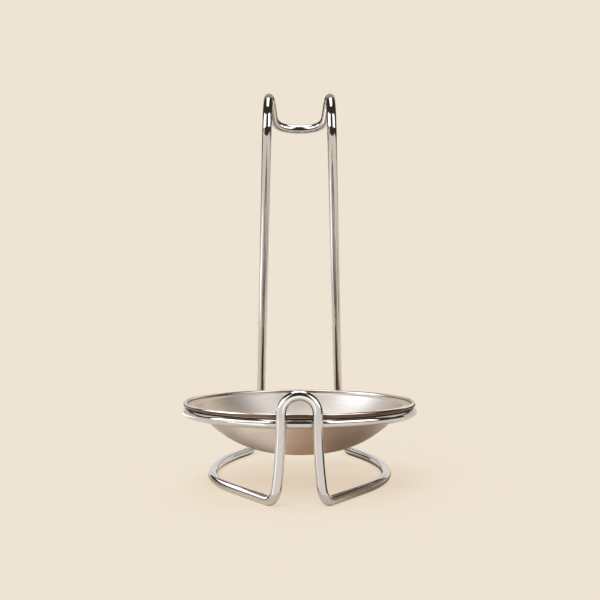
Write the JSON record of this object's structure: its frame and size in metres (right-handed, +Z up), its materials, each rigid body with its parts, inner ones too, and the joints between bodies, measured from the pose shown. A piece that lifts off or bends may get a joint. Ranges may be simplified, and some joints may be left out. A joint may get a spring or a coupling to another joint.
{
  "type": "ladle rest",
  "caption": "Free-standing wire ladle rest: a bent wire stand with a front arch, a rolled-over handle saddle and a ring that carries a lift-out dished steel drip bowl.",
  "frame": {"origin": "on the ring's upright axis, at the height of the table top that the foot wires stand on", "axes": "+Z up, -Y towards the front of the stand where the arch is, +X to the right as seen from the front"},
  "size_m": [0.124, 0.1932, 0.2093],
  "materials": {
    "chrome_wire": "bright chrome plate on round steel wire",
    "plated_weld": "chrome plate over a slightly uneven weld fillet",
    "brushed_bowl": "circular brushed stainless sheet with a bright rolled edge"
  },
  "bodies": {
    "stand": {"wire_frame": "chrome_wire", "bowl_ring": "chrome_wire", "left_ring_weld": "plated_weld", "right_ring_weld": "plated_weld"},
    "bowl": {"drip_bowl": "brushed_bowl"}
  },
  "joints": [
    {"name": "bowl_lift", "type": "slide", "parent": "stand", "child": "bowl", "axis": [0, 0, 1], "range_m": [0, 0.05]}
  ]
}
